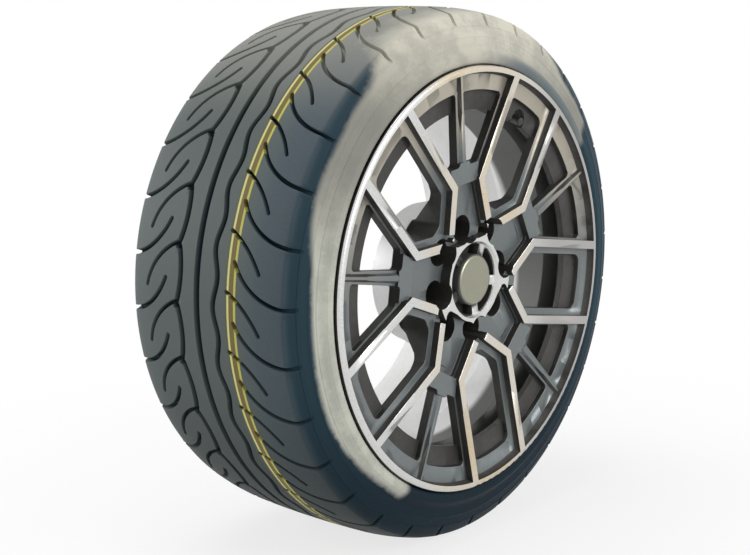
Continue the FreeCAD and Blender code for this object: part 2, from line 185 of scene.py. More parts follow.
# %% Floor and white world
FLOOR_Z = cad_box[0][2]
FLOOR_HALF = 6.0
corners = FLOOR_HALF * np.array([[-1, -1], [1, -1], [1, 1], [-1, 1]])
floor_mesh = bpy.data.meshes.new("floor")
floor_mesh.from_pydata([(x, y, FLOOR_Z) for x, y in corners.tolist()], [], [(0, 1, 2, 3)])
floor = bpy.data.objects.new("floor", floor_mesh)
scene.collection.objects.link(floor)


def seen_rays(tree):
    """1 for rays from the camera, from a mirror or through glass, 0 for the light that falls on things."""
    path = add(tree, "ShaderNodeLightPath").outputs
    shiny = calc(tree, "MAXIMUM", path["Is Glossy Ray"], path["Is Transmission Ray"])
    return calc(tree, "MAXIMUM", path["Is Camera Ray"], shiny)


WHITE = (1.0, 1.0, 1.0, 1.0)
paper = bpy.data.materials.new("pale_floor")
paper.use_nodes = True
tree = paper.node_tree
tree.nodes.clear()
matt = add(tree, "ShaderNodeBsdfDiffuse", {"Color": (0.86, 0.86, 0.86, 1.0)})
glow = add(tree, "ShaderNodeEmission", {"Color": WHITE, "Strength": 1.0})
on_floor = add(tree, "ShaderNodeTexCoord").outputs["Object"]
away = add(tree, "ShaderNodeVectorMath", {0: on_floor}, operation="LENGTH")
share = calc(tree, "MULTIPLY", seen_rays(tree), ramp(tree, away.outputs["Value"], 0.35, 0.9, 0.75, 1.0))
both = add(tree, "ShaderNodeMixShader", {0: share, 1: matt.outputs[0], 2: glow.outputs[0]})
add(tree, "ShaderNodeOutputMaterial", {"Surface": both.outputs[0]})
floor_mesh.materials.append(paper)

world = bpy.data.worlds.new("studio")
world.use_nodes = True
scene.world = world
tree = world.node_tree
tree.nodes.clear()
fill = add(tree, "ShaderNodeBackground", {"Color": WHITE, "Strength": 0.45})
ground = add(tree, "ShaderNodeBackground", {"Color": WHITE, "Strength": 1.0})
both = add(tree, "ShaderNodeMixShader", {0: seen_rays(tree), 1: fill.outputs[0], 2: ground.outputs[0]})
add(tree, "ShaderNodeOutputWorld", {"Surface": both.outputs[0]})
print("floor at", round(FLOOR_Z, 4))

# %% Soft lamps
def softbox(name, place, watts, width):
    """A square lamp at that place, turned to the middle of the wheel."""
    light = bpy.data.lights.new(name, "AREA")
    light.energy = watts
    light.size = width
    lamp = bpy.data.objects.new(name, light)
    scene.collection.objects.link(lamp)
    aim = np.array(AIM) - np.array(place)
    back = -aim / np.linalg.norm(aim)
    side = np.cross([0.0, 0.0, 1.0], back)
    side /= np.linalg.norm(side)
    turn = np.eye(4)
    turn[:3, :3] = np.stack([side, np.cross(back, side), back], axis=1)
    turn[:3, 3] = place
    lamp.matrix_world = Matrix(turn.tolist())
    return lamp


softbox("front_lamp", (0.5, -2.4, 0.9), 38.0, 1.3)
softbox("top_lamp", (-0.5, 0.3, 2.3), 26.0, 1.6)
softbox("back_lamp", (-1.3, 2.0, 0.6), 26.0, 1.2)

# %% [markdown]
# ## Shared effects
#
# Moulded rubber, cast paint and turned metal all carry fine grain, and old dust lies over them in
# patches. Each effect is built once as a node group, and every finish places it with its own scale.

# %% Grain and patches
grain, start, end = new_group("fine_grain", [("Place", "Vector"), ("Scale", "Float")], ["Height", "Tone"])
fine = add(grain, "ShaderNodeTexNoise", {"Vector": start["Place"], "Scale": start["Scale"], "Detail": 6.0})
grain.links.new(fine.outputs["Fac"], end["Height"])
grain.links.new(ramp(grain, fine.outputs["Fac"], 0.3, 0.7), end["Tone"])

patches, start, end = new_group("dust_patches", [("Place", "Vector"), ("Scale", "Float")], ["Mask"])
broad = add(patches, "ShaderNodeTexNoise", {"Vector": start["Place"], "Scale": start["Scale"], "Detail": 4.0})
small = add(patches, "ShaderNodeTexNoise", {"Vector": start["Place"], "Scale": 260.0, "Detail": 3.0})
mixed = calc(patches, "ADD", broad.outputs["Fac"], calc(patches, "MULTIPLY", small.outputs["Fac"], 0.35))
patches.links.new(ramp(patches, mixed, 0.55, 0.85), end["Mask"])
print("noise groups:", grain.name, patches.name)

# %% Rings round the axle
rings, start, end = new_group("turned_rings", [("Place", "Vector"), ("Pitch", "Float")], ["Radius", "Height"])
parts = add(rings, "ShaderNodeSeparateXYZ", {0: start["Place"]}).outputs
squares = calc(rings, "ADD", calc(rings, "POWER", parts[0], 2.0), calc(rings, "POWER", parts[2], 2.0))
radius = calc(rings, "SQRT", squares)
FULL_TURN = 6.2832
turns = calc(rings, "MULTIPLY", calc(rings, "DIVIDE", radius, start["Pitch"]), FULL_TURN)
rings.links.new(radius, end["Radius"])
rings.links.new(calc(rings, "SINE", turns), end["Height"])
print("groups:", [g.name for g in bpy.data.node_groups])

# %% [markdown]
# ## Tyre section
#
# A tyre is a ring, so its form is one curve carried round the axle. The tread part of that curve is
# measured by the distance along it from the middle of the crown. A groove can then be laid
# out flat, as in a mould drawing, and folded over the shoulder afterwards.

# %% Section of the tread
TYRE_R = 279.0
RIM_PLANE = 35.0
FLAT_Z = FLOOR_Z / MM


def arc(first, middle, last, count):
    """Points on the circle through three points: the centre is equally far from all three,
    and the angle runs evenly from the first point past the middle one to the last."""
    a, b, c = (np.array(p, float) for p in (first, middle, last))
    centre = np.linalg.solve(2 * np.array([b - a, c - a]), [b @ b - a @ a, c @ c - a @ a])
    angles = np.unwrap([np.arctan2(*(p - centre)[::-1]) for p in (a, b, c)])
    turn = np.linspace(angles[0], angles[2], count)
    return centre + np.hypot(*(a - centre)) * np.stack([np.cos(turn), np.sin(turn)], axis=1)


crown = arc((-60, TYRE_R - 1.4), (0, TYRE_R), (60, TYRE_R - 1.4), 61)[30:]
shoulder = arc((60, TYRE_R - 1.4), (80, TYRE_R - 3.4), (99, TYRE_R - 7.2), 20)
edge = arc((99, TYRE_R - 7.2), (102.6, TYRE_R - 9.4), (104.2, TYRE_R - 13), 14)
bulge = arc((104.2, TYRE_R - 13), (110.8, 252), (113, 240), 61)
upper = bulge[bulge[:, 1] > 252]
tread_line = np.concatenate([crown, shoulder[1:], edge[1:], upper[1:]])
steps = np.hypot(*np.diff(tread_line, axis=0).T)
along = np.concatenate([[0.0], np.cumsum(steps)])
slope = np.gradient(tread_line, along, axis=0)
REACH = along[-1]


def on_tread(across, depth):
    """Axial place and radius at a distance along the section, sunk by depth square to it."""
    far = np.abs(across)
    y, r, dy, dr = (np.interp(far, along, line) for line in (*tread_line.T, *slope.T))
    return np.sign(across) * (y + depth * dr), r - depth * dy


def round_axle(y, r, angle):
    """Points at axial place y and radius r, turned by angle from +X toward +Z, flat on the floor."""
    z = np.maximum(r * np.sin(angle), FLAT_Z)
    return MM * np.stack(np.broadcast_arrays(r * np.cos(angle), y + RIM_PLANE, z), axis=-1)


print("tread reaches", round(REACH, 1), "mm from the middle of the crown")

# %% [markdown]
# ## Tread grooves
#
# The pattern repeats 31 times round the tyre: a straight rain groove, two wavy ones, and hooks that
# sweep out to the shoulders. One repeat is drawn flat. A constrained triangulation puts mesh
# edges exactly on the rims and floors of the grooves, which an even grid would leave ragged.

# %% Lay out one repeat of the pattern
PITCHES = 31
PITCH = 2 * np.pi * TYRE_R / PITCHES
TREAD_ANGLE = np.radians(151.05)
GROOVE_DEPTH = 7.0
STRAIGHT_Y = 2.0
STRAIGHT_HALF = 3.75
RIDGE = 116.0


def wave(middle, swing, shift):
    """A wavy line over one repeat: its place across swings as a cosine of the distance round."""
    t = np.linspace(-1.0, PITCH + 1.0, 26)
    return np.stack([middle - swing * np.cos(2 * np.pi * (t + shift) / PITCH), t], axis=1)


GROOVES = {
    "outer_wave": (wave(-22.6, 2.8, 3.0), 3.0),
    "inner_wave": (arc((29.5, 30), (25.3, 56), (32.5, 30 + PITCH), 18), 3.2),
    "inner_hook": (arc((31, 25.6), (54.5, 38.6), (76, 71.3), 20), 2.2),
    "inner_sweep": (arc((47.5, 5), (60, 23), (116, 42), 24), 2.4),
    "outer_hook": (arc((-37.5, 8.5), (-58, 22.5), (-76, 45.5), 18), 2.0),
    "outer_sweep": (arc((-46, 37), (-66, 60.5), (-116, 75.5), 24), 2.2),
}
COPIES = [(line + [0, turn * PITCH], half) for line, half in GROOVES.values() for turn in (-1, 0, 1)]
RIM_LEVELS = np.array([0.4, 0.0, -0.8, -1.4])
SUNK_SHARE = np.array([0.0, 0.045, 0.9, 1.0])
RIDGE_LEVELS = np.array([-0.9, -0.5, 0.5, 0.9])


def outline(line, half):
    """The closed outline at a distance half from a line: both sides, with a half circle at each end."""
    run = np.gradient(line, axis=0)
    run /= np.linalg.norm(run, axis=1)[:, None]
    side = run[:, ::-1] * [-1, 1]
    turn = np.linspace(0, np.pi, 7)[1:-1, None]
    nose = line[-1] + half * (np.cos(turn) * side[-1] + np.sin(turn) * run[-1])
    tail = line[0] - half * (np.cos(turn) * side[0] + np.sin(turn) * run[0])
    return np.concatenate([line + half * side, nose, (line - half * side)[::-1], tail])


def below_rim(points):
    """How far each flat point is outside the nearest groove's rim; inside it is below zero."""
    found = np.abs(points[:, 0] - STRAIGHT_Y) - STRAIGHT_HALF
    for line, half in COPIES:
        start, leg = line[:-1], np.diff(line, axis=0)
        reach = np.einsum("nmk,mk->nm", points[:, None] - start, leg) / (leg**2).sum(1)
        near = start + np.clip(reach, 0, 1)[..., None] * leg
        found = np.minimum(found, np.linalg.norm(points[:, None] - near, axis=2).min(1) - half)
    return found


print("pitch", round(PITCH, 2), "mm")

# %% Triangulate the repeat
EDGE_STEPS = 12
FILL = 6.5
CLEAR_OF_RIM = 1.6


def chain(points, closed):
    """Mesh edges that join points in order, by their numbers from zero."""
    here = np.arange(len(points))
    pairs = np.stack([here, np.roll(here, -1)], axis=1)
    return pairs if closed else pairs[:-1]


def flat_repeat():
    """Points and triangles of one repeat laid flat, as distance across and distance round."""
    across = np.linspace(-REACH, REACH, int(2 * REACH / FILL) + 1)
    round_it = np.linspace(0, PITCH, EDGE_STEPS + 1)
    lines = [(np.stack([across, np.full_like(across, t)], axis=1), False) for t in (0, PITCH)]
    straight = STRAIGHT_Y + np.outer([-1, 1], STRAIGHT_HALF + RIM_LEVELS).ravel()
    ridges = np.outer([-1, 1], RIDGE + RIDGE_LEVELS).ravel()
    for y in (-REACH, REACH, *straight, *ridges):
        lines.append((np.stack([np.full_like(round_it, y), round_it], axis=1), False))
    for line, half in COPIES:
        lines += [(outline(line, half + level), True) for level in RIM_LEVELS]
    grid = np.stack(np.meshgrid(across[1:-1], round_it[1:-1]), axis=-1).reshape(-1, 2)
    grid = grid[below_rim(grid) > CLEAR_OF_RIM]
    starts = np.cumsum([0] + [len(points) for points, _ in lines])
    edges = np.concatenate([chain(points, closed) + at for (points, closed), at in zip(lines, starts)])
    points = np.concatenate([points for points, _ in lines] + [grid])
    flat, _, faces, *_ = delaunay_2d_cdt(points.tolist(), edges.tolist(), [], 0, 1e-4, False)
    flat, faces = np.array(flat), np.array(faces)
    middle = flat[faces].mean(1)
    inside = (np.abs(middle[:, 0]) < REACH) & (middle[:, 1] > 0) & (middle[:, 1] < PITCH)
    kept, faces = np.unique(faces[inside], return_inverse=True)
    return flat[kept], faces.reshape(-1, 3)


flat, repeat_faces = flat_repeat()
print("one repeat:", len(flat), "points,", len(repeat_faces), "triangles")

# %% Fold the pattern round the tyre
FADE_END = 119.0
FADE_RUN = 17.0
RIDGE_HEIGHT = 0.45
far = np.abs(flat[:, 0])
fade = np.clip((FADE_END - far) / FADE_RUN, 0, 1)
sunk = GROOVE_DEPTH * fade * np.interp(-below_rim(flat), -RIM_LEVELS, SUNK_SHARE)
sunk -= np.interp(far - RIDGE, RIDGE_LEVELS, [0.0, RIDGE_HEIGHT, RIDGE_HEIGHT, 0.0])
tread_y, tread_r = on_tread(flat[:, 0], sunk)
turns = TREAD_ANGLE + (np.arange(PITCHES)[:, None] * PITCH + flat[:, 1]) / TYRE_R
tread_points = round_axle(tread_y, tread_r, turns).reshape(-1, 3)
tread_faces = (np.arange(PITCHES)[:, None, None] * len(flat) + repeat_faces).reshape(-1, 3)
print("tread:", len(tread_faces), "triangles")

# %% [markdown]
# ## Sidewalls and beads
#
# Below the shoulder the tyre is the same all the way round, so the rest of the section is a plain
# profile carried round the axle: the bulging sidewall with its moulded rings, the guard that swells
# beside the rim's lip, the bead that sits in the rim, and the liner inside. It ends on the tread's own
# edge points, so the skin is closed.

# %% Profile below the shoulder
RINGS = ((248.0, 0.6, 0.35), (239.0, 0.6, 0.35), (230.6, 0.5, 0.3))
RING_FLANK = 0.25
BEAD_TOP = 219.0
WALL_STEPS = 10

guard = [(115.2, 236.0), (118.4, 232.0), (120.2, 228.6), (120.0, 225.5),
         (118.6, 222.6), (117.4, 221.0), (112.5, 220.7), (112.5, BEAD_TOP)]
wall = np.concatenate([bulge, guard])
centres = np.array([ring[0] for ring in RINGS])
halves = np.array([ring[1] for ring in RINGS])
flanks = [centres + side * (halves + more) for side in (-1, 1) for more in (-RING_FLANK, RING_FLANK)]
stops = np.concatenate([np.linspace(upper[-1, 1], BEAD_TOP, WALL_STEPS), wall[-len(guard):, 1]] + flanks)
stops = np.unique(stops)[::-1]
raised = sum(height * np.clip((half + RING_FLANK - np.abs(stops - centre)) / (2 * RING_FLANK), 0, 1)
             for centre, half, height in RINGS)
wall_y = np.interp(-stops, -wall[:, 1], wall[:, 0]) + raised
outside = np.stack([wall_y, stops], axis=1)
bead = np.array([(112.0, 216.0), (110.4, 212.6), (107.7, 210.6), (107.6, 206.0), (105.0, 203.4),
                 (90.0, 201.7), (89.0, 203.0), (91.5, 205.5)])
liner = np.concatenate([arc((91.5, 205.5), (99.5, 214), (103.5, 226), 4)[1:],
                        arc((103.5, 226), (105, 240), (101.5, 254), 4)[1:],
                        arc((101.5, 254), (97.5, 261), (84, 263.5), 4)[1:], [(42.0, 265.0)]])
half_profile = np.concatenate([outside, bead, liner, [(0.0, 265.0)]])
profile = np.concatenate([half_profile, half_profile[-2::-1] * [-1, 1]])
print("profile of", len(profile), "points")

# %% Tyre piece
def carry_round(profile, angles):
    """A profile of axial place and radius carried round the axle: a closed grid of points and quads."""
    points = round_axle(profile[None, :, 0], profile[None, :, 1], angles[:, None])
    columns, rows = points.shape[:2]
    i, j = np.meshgrid(np.arange(columns), np.arange(rows - 1), indexing="ij")
    k = (i + 1) % columns
    quads = np.stack([i * rows + j, i * rows + j + 1, k * rows + j + 1, k * rows + j], axis=-1)
    return points.reshape(-1, 3), quads.reshape(-1, 4)


def solid_piece(name, points, faces, sharp=35.0, **marks):
    """A mesh object from arrays, with doubles merged, faces outward and edges past sharp degrees kept.
    Each mark is one number at every point, which a finish can read by the mark's name."""
    mesh = bpy.data.meshes.new(name)
    mesh.from_pydata(points.tolist(), [], faces)
    for mark, values in marks.items():
        mesh.attributes.new(mark, "FLOAT", "POINT").data.foreach_set("value", values.astype(np.float32))
    work = bmesh.new()
    work.from_mesh(mesh)
    bmesh.ops.remove_doubles(work, verts=work.verts, dist=2e-6)
    bmesh.ops.recalc_face_normals(work, faces=work.faces)
    work.to_mesh(mesh)
    work.free()
    mesh.shade_smooth()
    mesh.set_sharp_from_angle(angle=np.radians(sharp))
    made = bpy.data.objects.new(name, mesh)
    scene.collection.objects.link(made)
    return made


around = TREAD_ANGLE + np.arange(PITCHES * EDGE_STEPS) * PITCH / EDGE_STEPS / TYRE_R
side_points, side_quads = carry_round(profile, around)
tyre_points = np.concatenate([tread_points, side_points])
tyre_faces = tread_faces.tolist() + (side_quads + len(tread_points)).tolist()
sunk_share = np.clip(sunk / GROOVE_DEPTH, 0, 1)
grooved = np.concatenate([np.tile(sunk_share, PITCHES), np.zeros(len(side_points))])
tyre = solid_piece("moulded_tyre", tyre_points, tyre_faces, groove=grooved)
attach(tyre, "wheel")
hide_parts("tyre")
tyre.data.calc_loop_triangles()
print("tyre:", len(tyre.data.loop_triangles), "triangles")

# %% [markdown]
# ## Tyre rubber
#
# Tyre rubber is nearly black, with a fine grain from the mould. New tyres carry painted marking
# lines round the tread. The sidewall's lit side and the top of the tyre are painted pale as painted
# light; the lower tyre, the rest of the sidewall and the grooves are painted darker as painted shade,
# with a painted reflection in the grooves at the top. The painted light could be painted by hand,
# but a mask worked out from radius, height and direction needs no picture and has soft edges.
# The lines are found from the distance across the tyre, and only where the surface is near the crown,
# so they stay out of the grooves.

# %% Where light is painted on the sidewall
LIT_SIDE_TOWARD = (-0.731, 0.682)
rubber, tree, sockets, place = new_finish("tyre_rubber", Specular_IOR_Level=0.13)
x, y, z = add(tree, "ShaderNodeSeparateXYZ", {0: place}).outputs
spun = use(tree, rings, Place=place, Pitch=0.0011)
speck = use(tree, grain, Place=place, Scale=900.0)
smear = use(tree, patches, Place=place, Scale=45.0)
off_middle = calc(tree, "SUBTRACT", y, RIM_PLANE * MM)
lit = calc(tree, "ADD", *(calc(tree, "MULTIPLY", part, share) for part, share in zip((x, z), LIT_SIDE_TOWARD)))
limit = calc(tree, "ADD", ramp(tree, z, 0.02, 0.10, 0.244, 0.256), ramp(tree, z, 0.19, 0.245, 0.0, 0.018))
limit = calc(tree, "ADD", limit, ramp(tree, z, -0.10, -0.19, 0.0, -0.009))
ragged = calc(tree, "MULTIPLY", calc(tree, "SUBTRACT", smear["Mask"], 0.5), 0.002)
inside = calc(tree, "SUBTRACT", calc(tree, "ADD", limit, ragged), spun["Radius"])
# pale is the painted light: the outer sidewall toward the lit side, inside a radius limit that changes with
# height, with a slightly ragged edge
pale = calc(tree, "MULTIPLY", ramp(tree, inside, -0.004, 0.004), ramp(tree, lit, -0.052, -0.040))
pale = calc(tree, "MULTIPLY", pale, ramp(tree, off_middle, -0.045, -0.06))
print("bloom mask:", len(tree.nodes), "nodes")

# %% Rubber tones
# painted light and shade on the rubber by height: darker toward the bottom as painted shade, lighter at the
# top as painted light; the tread is also darker and bluer toward the outer shoulder
low = ramp(tree, z, -0.03, -0.22)
high = ramp(tree, z, 0.16, 0.265)
outer = ramp(tree, off_middle, -0.045, -0.08)
walled = ramp(tree, off_middle, -0.098, -0.106)
near_rim = calc(tree, "MULTIPLY", ramp(tree, spun["Radius"], 0.238, 0.226), ramp(tree, lit, 0.17, 0.09))
# colours of the painted light: pale below mid height, darker higher up and palest at the top; near the rim,
# high up and away from the lit side, painted bluish grey as painted shade; random darker patches
painted_lit_wall = tint(tree, ramp(tree, z, 0.15, 0.02), (0.235, 0.23, 0.20, 1.0), (0.48, 0.485, 0.42, 1.0))
painted_lit_wall = tint(tree, high, painted_lit_wall, (0.56, 0.54, 0.455, 1.0))
shaded = calc(tree, "MULTIPLY", near_rim, ramp(tree, z, 0.1, 0.16))
painted_lit_wall = tint(tree, shaded, painted_lit_wall, (0.12, 0.145, 0.155, 1.0))
painted_lit_wall = tint(tree, calc(tree, "MULTIPLY", smear["Mask"], 0.3), painted_lit_wall, (0.17, 0.175, 0.16, 1.0))
black = tint(tree, outer, (0.083, 0.101, 0.097, 1.0), (0.06, 0.084, 0.10, 1.0))
black = tint(tree, low, black, (0.02, 0.029, 0.028, 1.0))
black = tint(tree, high, black, (0.22, 0.223, 0.2, 1.0))
black = tint(tree, calc(tree, "MULTIPLY", speck["Tone"], 0.15), black, (0.18, 0.19, 0.19, 1.0))
# the sidewall outside the painted light is black rubber painted dark bluish as painted shade, darker toward
# the bottom
black_wall_and_shade = tint(tree, low, (0.012, 0.032, 0.045, 1.0), (0.001, 0.010, 0.018, 1.0))
black = tint(tree, walled, black, black_wall_and_shade)
# grooves are painted near black as painted shade, and pale grey near the top as a painted reflection
groove = ramp(tree, add(tree, "ShaderNodeAttribute", attribute_name="groove").outputs["Fac"], 0.1, 0.7)
groove_shade_and_glint = tint(tree, ramp(tree, z, 0.18, 0.24), (0.01, 0.026, 0.034, 1.0), (0.26, 0.26, 0.24, 1.0))
black = tint(tree, groove, black, groove_shade_and_glint)
colour = tint(tree, pale, black, painted_lit_wall)
print("rubber tones:", len(tree.nodes), "nodes")

# %% Painted lines on the tread
STRIPES = (
    (-0.0437, 0.0030, (0.16, 0.125, 0.045, 1.0)),
    (-0.0395, 0.0012, (0.60, 0.56, 0.22, 1.0)),
    (-0.0480, 0.0013, (0.46, 0.45, 0.10, 1.0)),
    (-0.0366, 0.0008, (0.09, 0.105, 0.06, 1.0)),
)
on_top = ramp(tree, spun["Radius"], 0.2735, 0.2758)


def stripe(centre, half):
    """1 on a painted line round the tread at that distance from the middle, with worn edges."""
    away = calc(tree, "ABSOLUTE", calc(tree, "SUBTRACT", off_middle, centre))
    worn = calc(tree, "MULTIPLY", calc(tree, "SUBTRACT", speck["Height"], 0.5), 0.0009)
    band = ramp(tree, calc(tree, "ADD", away, worn), half + 0.0004, half - 0.0003)
    return calc(tree, "MULTIPLY", band, on_top)


for centre, half, dye in STRIPES:
    colour = tint(tree, stripe(centre, half), colour, dye)
tree.links.new(colour, sockets["Base Color"])
tree.links.new(ramp(tree, speck["Tone"], 0.0, 1.0, 0.5, 0.65), sockets["Roughness"])
relief(tree, sockets, speck["Height"], 0.35, 0.0004)
tyre.data.materials.append(rubber)
print("rubber finish on", tyre.name)

# %% [markdown]
# ## Alloy wheel
#
# The wheel is one casting: painted gunmetal all over, then turned in a lathe so that the rib tops, the
# hub ring and the lip are bare bright metal. Its solids already have every form, so a merged copy
# only needs small rounded edges, which catch the light. The solids meet on two round seams inside the
# metal. The copy loses its inner faces there and closes up, so that light runs over the seams.

# %% One casting from its solids
CASTING = ["wheel_rim", "wheel_hub", *("spoke_group_%d" % k for k in range(1, 6))]
SEAMS = (95.0, 174.0)
SEAM_NEAR = 0.02
SAME_POINT = 5e-6
SAME_SEAM_POINT = 2e-5


def joined_copy(nodes, name, flat_within):
    """One closed mesh of several solids: faces that lie wholly at a seam's radius go, the rest merge,
    and the hair-thin slits that unlike corners leave along the seams are filled."""
    work = bmesh.new()
    for node in nodes:
        work.from_mesh(frame["nodes"][node].data)
    bmesh.ops.remove_doubles(work, verts=work.verts, dist=SAME_POINT)
    radius = np.hypot(*np.array([vert.co.xz for vert in work.verts]).T) / MM
    on_seam = np.any([np.abs(radius - seam) < SEAM_NEAR for seam in SEAMS], axis=0)
    work.verts.index_update()
    inner = [face for face in work.faces if all(on_seam[vert.index] for vert in face.verts)]
    bmesh.ops.delete(work, geom=inner, context="FACES")
    bmesh.ops.remove_doubles(work, verts=work.verts, dist=SAME_SEAM_POINT)
    bmesh.ops.holes_fill(work, edges=[edge for edge in work.edges if edge.is_boundary])
    bmesh.ops.dissolve_limit(work, angle_limit=np.radians(flat_within), verts=work.verts, edges=work.edges)
    print("edges without two faces:", sum(not edge.is_manifold for edge in work.edges))
    mesh = bpy.data.meshes.new(name)
    work.to_mesh(mesh)
    work.free()
    made = bpy.data.objects.new(name, mesh)
    scene.collection.objects.link(made)
    return made


casting = joined_copy(CASTING, "cast_wheel", 0.3)
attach(casting, "wheel")
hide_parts(*CASTING)
print("casting:", len(casting.data.polygons), "faces")

# %% [markdown]
# ## Where each wheel finish lies
#
# The gunmetal paint goes on what faces forward and lies near the front. The lathe cuts what lies on its
# one slanting face. All else is deep or inside the barrel, and walls and deep faces get a near black
# colour as painted shade. Faces could be picked by hand, but here the place and direction of each face
# decide, so the choice still holds if the solids change a little.

# %% Measure every face
LIP_Y = -87.4
LIP_IN_R = 213.0
HUB_R = 60.0
FACE_SLOPE = 10.0 / 153.0


def read(items, key, width):
    """One value of every mesh item as an array with that many columns."""
    kind = np.float32 if key in ("co", "center", "normal") else np.int32
    found = np.zeros(len(items) * width, kind)
    items.foreach_get(key, found)
    return found.reshape(-1, width)


mesh = casting.data
middle = read(mesh.polygons, "center", 3) / MM
facing = read(mesh.polygons, "normal", 3)
radius = np.hypot(middle[:, 0], middle[:, 2])
corners = read(mesh.vertices, "co", 3)[read(mesh.loops, "vertex_index", 1)[:, 0]] / MM
counts = read(mesh.polygons, "loop_total", 1)[:, 0]
firsts = read(mesh.polygons, "loop_start", 1)[:, 0]
rim_radius = np.add.reduceat(np.hypot(corners[:, 0], corners[:, 2]), firsts) / counts
depth = middle[:, 1] - LIP_Y - (LIP_IN_R - np.clip(radius, HUB_R, LIP_IN_R)) * FACE_SLOPE
outward = (facing[:, [0, 2]] * middle[:, [0, 2]]).sum(1) / radius
print("faces measured:", len(middle))

# %% Tell the finishes apart
PLAIN, RIB_TOP, DEEP, BARREL = range(4)
LIP_DEPTH = 5.0
RING_R, RING_DEPTH = 41.0, 6.0
CUT_WITHIN = 0.35
SHADE_DEPTH = 13.0
DRUM_R, DRUM_HALF, DRUM_Y = 86.0, 16.0, -38.0
BARREL_R, BARREL_Y = 172.0, -60.0

front = facing[:, 1] < -0.45
faces_out = outward > 0.3
lip = (rim_radius > LIP_IN_R) & (middle[:, 1] < LIP_Y + LIP_DEPTH) & ((facing[:, 1] < -0.5) | faces_out)
ring = (radius < RING_R) & front & (depth < RING_DEPTH)
turned = (facing[:, 1] < -0.9) & (np.abs(depth) < CUT_WITHIN) | lip | ring
# forward faces near the front get the gunmetal paint; walls and deep faces get the painted shade
finish = np.where(front & (depth < SHADE_DEPTH), PLAIN, DEEP)
finish[turned] = RIB_TOP
drum = (np.abs(radius - DRUM_R) < DRUM_HALF) & (middle[:, 1] > DRUM_Y) & faces_out
finish[(rim_radius > BARREL_R) & (middle[:, 1] > BARREL_Y) | drum] = BARREL
mesh.polygons.foreach_set("material_index", finish.astype(np.int32))
print("faces by finish:", np.bincount(finish))

# %% Rounded edges
BEVEL = 0.6
BEVEL_FROM, BEVEL_TO = 46.0, 205.0
BEVEL_BEND = 35.0
ON_SEAM_LINE = 0.05
loops = read(mesh.loops, "edge_index", 1)[:, 0]
owners = np.repeat(np.arange(len(mesh.polygons)), counts)
pairs = owners[np.argsort(loops, kind="stable")].reshape(-1, 2)
bend = np.degrees(np.arccos(np.clip((facing[pairs[:, 0]] * facing[pairs[:, 1]]).sum(1), -1, 1)))
ends = read(mesh.vertices, "co", 3)[read(mesh.edges, "vertices", 2)] / MM
reach = np.hypot(ends[..., 0], ends[..., 2])
on_seam = np.any([np.abs(reach - seam).max(1) < ON_SEAM_LINE for seam in SEAMS], axis=0)
between = (reach.min(1) > BEVEL_FROM) & (reach.max(1) < BEVEL_TO)
weight = ((bend > BEVEL_BEND) & between & ~on_seam).astype(np.float32)
mesh.attributes.new("bevel_weight_edge", "FLOAT", "EDGE").data.foreach_set("value", weight)
rolled = lip & (facing[:, 1] > -0.99)
mesh.polygons.foreach_set("use_smooth", (finish != RIB_TOP) | rolled)
mesh.set_sharp_from_angle(angle=np.radians(25))
bevel = casting.modifiers.new("rounded_edges", "BEVEL")
bevel.limit_method = "WEIGHT"
bevel.width = BEVEL * MM
bevel.segments = 2
bevel.use_clamp_overlap = False
bevel.harden_normals = True
print("rounded edges:", int(weight.sum()), "of", len(weight))

# %% [markdown]
# ## Wheel finishes
#
# Gunmetal paint has fine metal flake under a clear coat; its outer ledges in the upper half are painted
# light cream as painted light. Turned metal shows the rings of the lathe tool, with a painted yellowish
# reflection in patches at the top and bottom, painted shade on its right side, and painted shade where
# the lip rolls over toward the tyre. Deep walls are painted near black as painted shade, and the barrel
# goes from dark grey at the front to silver at the back, partly a two-tone paint and partly painted shade
# and painted light. Each is a plain shader with masks from radius and place, because flat colours would
# make the casting look moulded.

# %% Gunmetal paint
paint, tree, sockets, place = new_finish("gunmetal_paint", Metallic=0.5, Coat_Weight=0.3, Coat_Roughness=0.15)
z = add(tree, "ShaderNodeSeparateXYZ", {0: place}).outputs[2]
spun = use(tree, rings, Place=place, Pitch=0.0009)
flake = use(tree, grain, Place=place, Scale=1500.0)
dusty = use(tree, patches, Place=place, Scale=18.0)
# painted light: the outer ledges in the upper half are painted a light cream-grey
painted_sunlight = calc(tree, "MULTIPLY", ramp(tree, spun["Radius"], 0.12, 0.18), ramp(tree, z, -0.02, 0.15))
grey = tint(tree, flake["Tone"], (0.105, 0.12, 0.123, 1.0), (0.15, 0.166, 0.17, 1.0))
tree.links.new(tint(tree, painted_sunlight, grey, (0.36, 0.33, 0.27, 1.0)), sockets["Base Color"])
tree.links.new(ramp(tree, dusty["Mask"], 0.0, 1.0, 0.36, 0.5), sockets["Roughness"])
relief(tree, sockets, flake["Height"], 0.12, 0.0002)
print("paint:", len(tree.nodes), "nodes")

# %% Turned alloy
alloy, tree, sockets, place = new_finish("turned_alloy", Metallic=1.0, Coat_Weight=0.3, Coat_Roughness=0.08)
x = add(tree, "ShaderNodeSeparateXYZ", {0: place}).outputs[0]
lines = use(tree, rings, Place=place, Pitch=0.0009)
speck = use(tree, grain, Place=place, Scale=700.0)
sheen = use(tree, patches, Place=place, Scale=9.0)
bright = tint(tree, speck["Tone"], (0.57, 0.575, 0.56, 1.0), (0.67, 0.675, 0.66, 1.0))
# the right side is painted darker as painted shade in the metal's reflection
bright = tint(tree, ramp(tree, x, 0.05, 0.15), bright, (0.40, 0.385, 0.37, 1.0))
